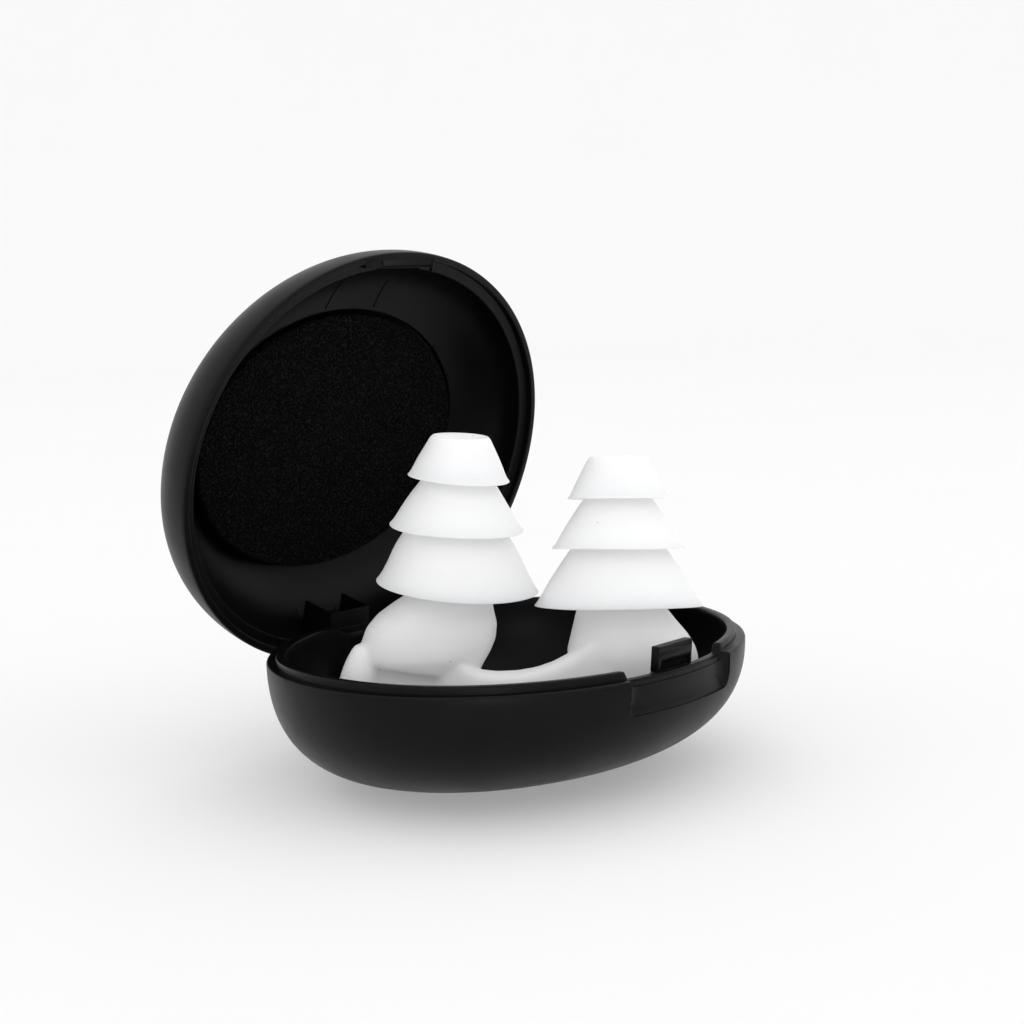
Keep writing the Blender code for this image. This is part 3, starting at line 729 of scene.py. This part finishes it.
def make_base():
    """The bowl with its thickened hinge wall, a slot for the lug and a rib and seat for the snap tab."""
    base = add_piece("case_base", base_mesh())
    rib = [(-15.95, -0.12), (-14.95, -0.12), (-14.83, -0.24), (-14.83, -3.4), (-15.95, -3.4)]
    combine(base, prism("rib", rib, -RIB_HALF, RIB_HALF, to_part), "UNION")
    seat = box("seat", (TAB_LEFT - 0.17, -15.62, TAB_FOOT - 0.04), (TAB_RIGHT + 0.04, -14.0, 2.0), to_part)
    combine(base, seat, "DIFFERENCE")
    half = LUG_HALF + SLOT_GAP
    reach = LUG_RADIUS + SLOT_GAP
    slot = [(20.0, 3.0), (HINGE_Y - reach, 3.0)] + hinge_arc(reach, 180, 270, 10) + [(20.0, HINGE_Z - reach)]
    combine(base, prism("slot", slot, -half, half, to_part), "DIFFERENCE")
    hole = PIN_HALF + PIN_END_GAP
    ends = [(-hole, HINGE_Y, HINGE_Z), (hole, HINGE_Y, HINGE_Z)]
    combine(base, rod("pin_hole", PIN_HOLE, *ends, 32, to_part), "DIFFERENCE")
    finish_surface(base, BLACK)
    claim(base, "base", "black_shell", "base_shell")


def trim_barrel():
    """What the base's back rim sweeps out of the closing lid: a barrel about the hinge axis."""
    rings = []
    for i in range(33):
        x = -TRIM_HALF + 2 * TRIM_HALF * i / 32
        rim_y = HALF_WIDTH * (1 - (abs(x) / HALF_LENGTH) ** OUTLINE_POWER) ** (1 / OUTLINE_POWER)
        radius = hypot(rim_y - HINGE_Y, HINGE_Z) + TRIM_GAP
        rings.append([(x, y, z) for y, z in hinge_arc(radius, 0, 360 * 71 / 72, 71)])
    ends = [(x, HINGE_Y, HINGE_Z) for x in (-TRIM_HALF, TRIM_HALF)]
    return loft("trim_barrel", rings, *ends, lid_to_open)


def box(name, low, high, place):
    """A box between two corners."""
    outline = [(low[1], low[2]), (high[1], low[2]), (high[1], high[2]), (low[1], high[2])]
    return prism(name, outline, low[0], high[0], place)


def make_lid():
    """The dome with a dish for the pad, the hinge lug at the back and the catch at the front."""
    lid = add_piece("case_lid", lid_mesh())
    combine(lid, trim_barrel(), "DIFFERENCE")
    dish = [oval_ring(DISH_HALF_LENGTH, DISH_HALF_WIDTH, k / 12, lambda x, y: 3.0) for k in range(1, 13)]
    dish += [oval_ring(DISH_HALF_LENGTH, DISH_HALF_WIDTH, k / 12, dish_height) for k in range(12, 0, -1)]
    combine(lid, loft("dish", dish, (0, 0, 3.0), (0, 0, dish_height(0, 0)), lid_to_open), "DIFFERENCE")
    lug = hinge_arc(LUG_RADIUS, 180, 360, 16)
    lug += [(HINGE_Y + LUG_RADIUS, 0.3), (HINGE_Y + 0.6, 1.2), (HINGE_Y + 0.3, 3.8)]
    lug += [(13.0, 3.8), (13.0, 0.55), (HINGE_Y - LUG_RADIUS, 0.3)]
    combine(lid, prism("lug", lug, -LUG_HALF, LUG_HALF, lid_to_open), "UNION")
    pocket = [(12.0, 0.76), (14.7, 0.76), (14.7, 4.3), (14.1, 5.05), (12.0, 6.4)]
    wall = LUG_HALF - LUG_WALL
    combine(lid, prism("lug_pocket", pocket, -wall, wall, lid_to_open), "DIFFERENCE")
    ends = [(-3.0, HINGE_Y, HINGE_Z), (3.0, HINGE_Y, HINGE_Z)]
    combine(lid, rod("lug_hole", PIN_HOLE, *ends, 32, lid_to_open), "DIFFERENCE")
    fill = box("fill", (CATCH_LEFT, -16.5, SEAM - 0.01), (CATCH_RIGHT, -15.68, 0.95), lid_to_open)
    combine(lid, fill, "UNION")
    for name, low, high, operation in (
        ("groove", (-2.4, -15.86, -1.0), (CATCH_RIGHT - 0.3, -15.79, 0.3), "DIFFERENCE"),
        ("nose_room", (TAB_LEFT - 0.4, -15.78, 0.62), (TAB_RIGHT + 0.4, -13.0, 1.85), "DIFFERENCE"),
        ("bead", (-2.5, -16.3, -0.05), (-2.3, -15.95, 0.3), "UNION"),
        ("spur", (2.98, -16.45, -0.02), (3.1, -15.4, 0.3), "UNION"),
    ):
        combine(lid, box(name, low, high, lid_to_open), operation)
    round_edges(lid, 0.04)
    finish_surface(lid, BLACK)
    claim(lid, "lid", "black_shell", "lid_shell")
    make_mould_lines()


def ceiling_height(x, y):
    """Height of the lid's inner face above the rim plane."""
    depth, slope, rise, plan = LID_DOME
    along, across = abs(x) / (HALF_LENGTH - WALL), abs(y) / (HALF_WIDTH - WALL)
    reach = (along ** OUTLINE_POWER + across ** OUTLINE_POWER) ** (1 / OUTLINE_POWER)
    angle = acos(min(reach, 1.0) ** (plan / 2))
    return REBATE_HEIGHT + (depth - WALL - REBATE_HEIGHT + slope * y) * sin(angle) ** (2 / rise)


def dish_height(x, y):
    """Height of the bottom of the pad's dish."""
    return ceiling_height(x, y) + DISH_DEPTH


def make_mould_lines():
    """Two hairline ridges left by the mould between the catch and the pad."""
    verts, faces = [], []
    half, steps = MOULD_LINE_HALF, MOULD_LINE_STEPS
    for side in (-1, 1):
        first = len(verts)
        for k in range(steps + 1):
            y = MOULD_LINE_Y[0] + (MOULD_LINE_Y[1] - MOULD_LINE_Y[0]) * k / steps
            x = side * (MOULD_LINE_X + MOULD_LINE_SPREAD * k / steps)
            z = ceiling_height(x, y)
            ridge = ((x - half, y, z + half), (x, y, z - 0.08), (x + half, y, z + half))
            verts += [lid_to_open(p) for p in ridge]
        for k in range(steps):
            a = first + 3 * k
            faces += [(a, a + 1, a + 4, a + 3), (a + 1, a + 2, a + 5, a + 4), (a + 2, a, a + 3, a + 5)]
        last = first + 3 * steps
        faces += [(first, first + 1, first + 2), (last, last + 1, last + 2)]
    lines = add_piece("mould_lines", mesh_from("mould_lines", verts, faces))
    finish_surface(lines, BLACK)
    claim(lines, "lid", "black_shell")


def make_pin():
    """The hinge pin, in the base's housing."""
    pin = add_piece("wire_pin", rod("wire_pin", PIN_RADIUS, *PIN_ENDS, 48, to_part))
    round_edges(pin, 0.12)
    finish_surface(pin, STEEL)
    claim(pin, "base", "steel", "hinge_pin")


def leaning(p):
    """The tab leans a little towards +X."""
    return to_part((p[0] + TAB_LEAN * (p[2] - 0.8), p[1], p[2]))


def make_tab():
    """Snap tongue: a flat edge down each side, and between them a rounded nose with an undercut below."""
    frame_end = TAB_LEFT + TAB_FRAME
    strip = box("snap_tab", (TAB_LEFT, TAB_FRONT, TAB_FOOT), (frame_end, TAB_BACK, TAB_TOP), leaning)
    tab = add_piece("snap_tab", strip)
    nose = [(TAB_BACK, TAB_FOOT), (TAB_BACK, TAB_TOP), *TAB_NOSE]
    combine(tab, prism("nose", nose, frame_end - 0.05, TAB_RIGHT - 0.1, leaning), "UNION")
    edge = box("edge", (TAB_RIGHT - TAB_EDGE, TAB_FRONT, TAB_FOOT), (TAB_RIGHT, TAB_BACK, TAB_TOP), leaning)
    combine(tab, edge, "UNION")
    round_edges(tab, 0.05, 35.0)
    finish_surface(tab, BLACK, 50.0)
    claim(tab, "latch", "black_shell", "latch_tab")


# ---------------------------------------------------------------- foam pad


def oval_ring(half_length, half_width, share, height):
    """A share of an ellipse about the middle of the lid, at height(x, y)."""
    ring = []
    for i in range(PAD_SIDES):
        turn = 2 * pi * i / PAD_SIDES
        x = half_length * share * cos(turn)
        y = half_width * share * sin(turn)
        ring.append(Vector((x, y, height(x, y))))
    return ring


def pad_ring(inset, height, share=1.0):
    """A ring of the pad, pulled in by inset."""
    return oval_ring(PAD_HALF_LENGTH - inset, PAD_HALF_WIDTH - inset, share, height)


def make_pad():
    """Die-cut open-cell foam: soft cut edge, face broken up by its cells, back against the dome."""
    rings = [pad_ring(0.24, lambda x, y: PAD_FACE, i / 64) for i in range(1, 65)]
    for inset, rise in ((0.15, 0.02), (0.07, 0.07), (0.015, 0.16)):
        rings.append(pad_ring(inset, lambda x, y, rise=rise: PAD_FACE + rise))
    for ring in rings:
        for p in ring:
            cells = noise.noise(Vector((p.x * 4.3, p.y * 4.3, 2.0)))
            fine = noise.noise(Vector((p.x * 9.1, p.y * 9.1, 9.0)))
            p.z += 0.03 * cells + 0.025 * fine
    gap = 2 * TAPE_GAP + TAPE
    rings += [pad_ring(0.0, lambda x, y: dish_height(x, y) - gap, k / 8) for k in range(8, 0, -1)]
    end = (0, 0, dish_height(0, 0) - gap)
    pad = add_piece("cushion_pad", loft("cushion_pad", rings, (0, 0, PAD_FACE), end, lid_to_open))
    finish_surface(pad, FOAM, 80.0)
    claim(pad, "lid", "black_foam", "foam_pad")


# ---------------------------------------------------------------- ear plugs

# Flanges from the tip down: rim radius and height, shoulder radius and height.
FLANGES = ((3.82, 8.10, 2.135, 11.3), (5.04, 4.36, 2.3, 8.5), (6.38, 0.0, 3.2, 4.85))
FLANGE_CROWN = (0.02, 0.05, 0.12)
CORE = 2.0
BORE = 1.25
POST_RADIUS = 0.95
POST_ROOT = 3.0
POST_TOP = 10.3
PLUG_SIDES = 160
# The pair stands on a line across the case: its middle, its direction and the direction across it.
PAIR_CENTRE = Vector((1.77, -1.33, 0.0))
PAIR_ALONG = Vector((0.6676, -0.7445, 0.0))
PAIR_ACROSS = Vector((0.7445, 0.6676, 0.0))
SPACING = 12.4
LEFT_AXIS = Vector((0.0301, -0.0807, 0.9963)).normalized()
RIGHT_AXIS = Vector((0.1113, 0.0644, 0.9917)).normalized()


def pair_point(along, across, z):
    """A point given along and across the line of the pair."""
    flat = PAIR_CENTRE + PAIR_ALONG * along + PAIR_ACROSS * across
    return Vector((flat.x, flat.y, z))


def plug_seat(side):
    """Foot and axis of the left (-1) or right (1) plug."""
    if side < 0:
        return pair_point(-SPACING / 2, 0.0, 4.46), LEFT_AXIS
    return pair_point(SPACING / 2, 0.0, 2.39), RIGHT_AXIS


def plug_profile():
    """From the bore at the tip, out over the three flanges and down the sleeve."""
    tip = FLANGES[0][3]
    points = [(BORE, 9.2), (BORE, tip - 0.75), (BORE + 0.12, tip - 0.55)]
    points += [(1.55, tip - 0.3), (1.78, tip - 0.1), (1.9, tip - 0.02), (1.98, tip)]
    for i, (rim, low, shoulder, high) in enumerate(FLANGES):
        points += arc((shoulder - 0.09, high - 0.09), 0.09, 85, 25, 3)
        for k in range(1, 15):
            t = k / 15
            groove = 0.05 * smooth(t, 0.55, 0.88) * (1 - smooth(t, 0.88, 1.0))
            bulge = FLANGE_CROWN[i] * 4 * t * (1 - t) - groove
            height = high + (low - high) * t + 0.05 * (1 - t)
            points.append((shoulder + (rim - shoulder) * t + bulge, height))
        points += arc((rim - 0.05, low + 0.05), 0.05, 20, -160, 6)
        for k in range(1, 9):
            t = k / 9
            points.append((rim - 0.16 + (CORE + 0.25 - rim + 0.16) * t, low + 0.12 + 1.35 * t ** 0.85))
        points += arc((CORE + 0.25, low + 1.72), 0.25, -90, -180, 4)
        if i < 2:
            top = FLANGES[i + 1][3]
            points += [(CORE, top + 0.2), (CORE + 0.03, top + 0.08), (CORE + 0.12, top + 0.01)]
    points += [(CORE, 0.7), (CORE - 0.06, 0.62), (CORE - 0.15, 0.6)]
    points += [(BORE + 0.1, 0.6), (BORE, 0.7), (BORE, 4.5)]
    return points


def make_plug(name, node, side):
    """A plug turned from its profile. The left one's rims sag a little and give way next to the other plug."""
    seat, axis = plug_seat(side)
    turn = Vector((0, 0, 1)).rotation_difference(axis)
    profile = plug_profile()
    count = len(profile)
    toward_left = atan2(-PAIR_ALONG.y, -PAIR_ALONG.x)
    verts = []
    for i in range(PLUG_SIDES):
        a = 2 * pi * i / PLUG_SIDES
        for r, z in profile:
            wave = 0.03 * sin(3 * a + z * 0.7 + side) * smooth(r, 3.0, 6.0)
            if side < 0:
                off = (a - toward_left + pi) % (2 * pi) - pi
                hang = smooth(r, 2.1, 3.8)
                wave += 0.12 * cos(off) * hang * smooth(z, 3.5, 6.0)
                low = (1 - smooth(z, 1.5, 4.2)) * smooth(r, 3.4, 6.3)
                r -= 0.5 * exp(-(off / 0.9) ** 2) * low
                wave += (0.2 * cos(off) - 0.1) * low
            verts.append(to_part(seat + turn @ Vector((r * cos(a), r * sin(a), z + wave))))
    faces = []
    for i in range(PLUG_SIDES):
        j = (i + 1) % PLUG_SIDES
        for k in range(count):
            m = (k + 1) % count
            faces.append((i * count + k, j * count + k, j * count + m, i * count + m))
    plug = add_piece(name, mesh_from(name, verts, faces))
    finish_surface(plug, WHITE, 60.0)
    claim(plug, name, "white_silicone", node)
    squash_white(plug)


def squash_white(obj):
    """Under the closing lid the soft white pieces would be pressed down in the bowl; this only gives the piece
    its own copy of its mesh.
    """
    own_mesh(obj)


# ---------------------------------------------------------------- carrier


# Sections of each body: height, left edge, right edge, half depth, shift towards the front.
LEFT_BODY = (
    (4.1, -8.6, -4.2, 2.2, 0.0),
    (3.95, -9.2, -3.8, 2.8, 0.0),
    (3.62, -10.1, -3.45, 3.2, 0.0),
    (3.1, -11.0, -3.35, 3.5, 0.1),
    (2.3, -12.15, -3.25, 3.8, 0.1),
    (1.4, -12.95, -3.05, 4.0, 0.2),
    (0.3, -13.4, -3.2, 4.2, 0.2),
    (-0.6, -13.5, -3.6, 4.3, 0.2),
    (-1.6, -13.4, -4.2, 4.2, 0.0),
    (-2.6, -13.2, -4.6, 3.9, -0.3),
    (-4.0, -12.8, -5.0, 3.6, -0.6),
    (-5.4, -11.8, -5.4, 3.2, -0.8),
    (-6.6, -10.4, -6.0, 2.2, -0.9),
)
RIGHT_BODY = (
    (2.6, 3.6, 8.6, 2.4, 0.0),
    (2.4, 3.2, 9.2, 3.0, 0.0),
    (2.0, 2.95, 9.9, 3.4, 0.0),
    (1.2, 2.75, 10.5, 3.8, 0.1),
    (0.1, 2.45, 11.4, 4.0, 0.2),
    (-0.8, 2.2, 11.9, 4.1, 0.2),
    (-1.5, 2.25, 12.1, 4.1, 0.1),
    (-2.6, 2.6, 12.1, 3.9, 0.0),
    (-4.0, 3.4, 11.5, 3.5, 0.0),
    (-5.4, 4.4, 10.3, 3.0, 0.0),
    (-6.4, 5.6, 9.2, 2.0, 0.0),
)


# The strap between the bodies: along, across, height, half depth, half height.
STRAP = (
    (-8.2, -2.2, -1.6, 1.1, 1.9),
    (-7.0, -2.7, -1.8, 1.2, 2.1),
    (-5.8, -2.85, -2.2, 1.2, 1.8),
    (-5.1, -2.85, -2.5, 1.15, 1.4),
    (-4.5, -2.85, -2.7, 1.1, 1.12),
    (-3.2, -2.75, -2.82, 1.1, 1.02),
    (-1.6, -2.7, -2.8, 1.1, 1.0),
    (-0.2, -2.7, -2.6, 1.1, 1.0),
    (1.0, -2.65, -2.32, 1.15, 1.08),
    (2.0, -2.55, -2.05, 1.2, 1.27),
    (3.0, -2.5, -1.8, 1.2, 1.65),
    (4.0, -2.6, -1.5, 1.2, 2.1),
    (5.2, -2.75, -1.3, 1.2, 2.3),
    (6.6, -2.6, -1.3, 1.1, 2.0),
)
# The fin under the left body: height, along, half length, half depth, shift towards the front.
FIN = (
    (0.45, -13.35, 0.3, 0.5, 1.9),
    (0.15, -13.3, 0.65, 0.9, 1.9),
    (-0.6, -13.35, 1.05, 1.2, 2.0),
    (-1.4, -13.45, 1.3, 1.4, 2.1),
    (-2.3, -13.6, 1.45, 1.5, 2.1),
    (-3.4, -13.6, 1.4, 1.5, 1.9),
    (-4.6, -13.2, 1.1, 1.3, 1.6),
)
# Corners of the hollow under the left body's front, as (along, height): its upper edge is the lit ledge.
HOLLOW = (
    (-12.15, -0.95), (-11.7, -1.15), (-10.3, -1.36), (-7.75, -1.78), (-7.6, -2.2), (-7.7, -6.0), (-12.3, -6.0),
)
# It is open at the front, and its back slants between these two depths over the span from its right edge.
HOLLOW_NEAR = -7.0
HOLLOW_FAR = (-2.1, -3.2)
HOLLOW_RIGHT = -7.6
HOLLOW_SPAN = 4.6
VOXEL = 0.16


def oval(along, across, z, half_along, half_across, count=64, power=2.3):
    """A level superellipse across the line of the pair."""
    ring = []
    for i in range(count):
        a = 2 * pi * i / count
        run = half_along * signed_power(cos(a), 2 / power)
        ring.append(pair_point(along + run, across + half_across * signed_power(sin(a), 2 / power), z))
    return ring


def body_mesh(name, sections):
    """A body through its level sections."""
    rings = [oval((a + b) / 2, -shift, z, (b - a) / 2, half) for z, a, b, half, shift in sections]
    return loft(name, rings, *end_points(rings), to_part)


def strap_mesh(sides=32):
    """The strap through its upright sections."""
    rings = []
    for along, across, z, half_across, half_high in STRAP:
        ring = []
        for i in range(sides):
            a = 2 * pi * i / sides
            out, up = signed_power(cos(a), 0.6), signed_power(sin(a), 0.6)
            ring.append(pair_point(along, across + half_across * out, z + half_high * up))
        rings.append(ring)
    return loft("strap", rings, *end_points(rings), to_part)


def hollow_mesh():
    """What is cut out of the left body's front."""
    left, right = HOLLOW_FAR
    near = [pair_point(along, HOLLOW_NEAR, z) for along, z in HOLLOW]
    far = []
    for along, z in HOLLOW:
        far.append(pair_point(along, right + (left - right) * (HOLLOW_RIGHT - along) / HOLLOW_SPAN, z))
    return loft("hollow", [near, far], *end_points([near, far]), to_part)


def make_carrier():
    """Two bodies, strap, fin and posts in one moulding, with soft edges all over."""
    carrier = add_piece("twin_carrier", body_mesh("twin_carrier", LEFT_BODY))
    combine(carrier, body_mesh("right_body", RIGHT_BODY), "UNION")
    combine(carrier, strap_mesh(), "UNION")
    fin = [oval(along, -near, z, half, deep) for z, along, half, deep, near in FIN]
    combine(carrier, loft("fin", fin, *end_points(fin), to_part), "UNION")
    combine(carrier, hollow_mesh(), "DIFFERENCE")
    for side in (-1, 1):
        seat, axis = plug_seat(side)
        post = rod("post", POST_RADIUS, seat - axis * POST_ROOT, seat + axis * POST_TOP, 40, to_part)
        combine(carrier, post, "UNION")
    remesh = carrier.modifiers.new("remesh", "REMESH")
    remesh.mode = "VOXEL"
    remesh.voxel_size = VOXEL * MM
    soften = carrier.modifiers.new("soften", "SMOOTH")
    soften.factor = 0.5
    soften.iterations = 10
    apply_modifiers(carrier)
    finish_surface(carrier, WHITE, 80.0)
    claim(carrier, "carrier", "white_silicone", "plug_carrier")
    squash_white(carrier)


make_camera()
make_light()
make_floor()
make_base()
make_lid()
make_pin()
make_tab()
make_pad()
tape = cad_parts["pad_tape"].data.materials
tape.clear()
tape.append(FILM)
make_carrier()
make_plug("plug_left", "ear_plug_left", -1)
make_plug("plug_right", "ear_plug_right", 1)
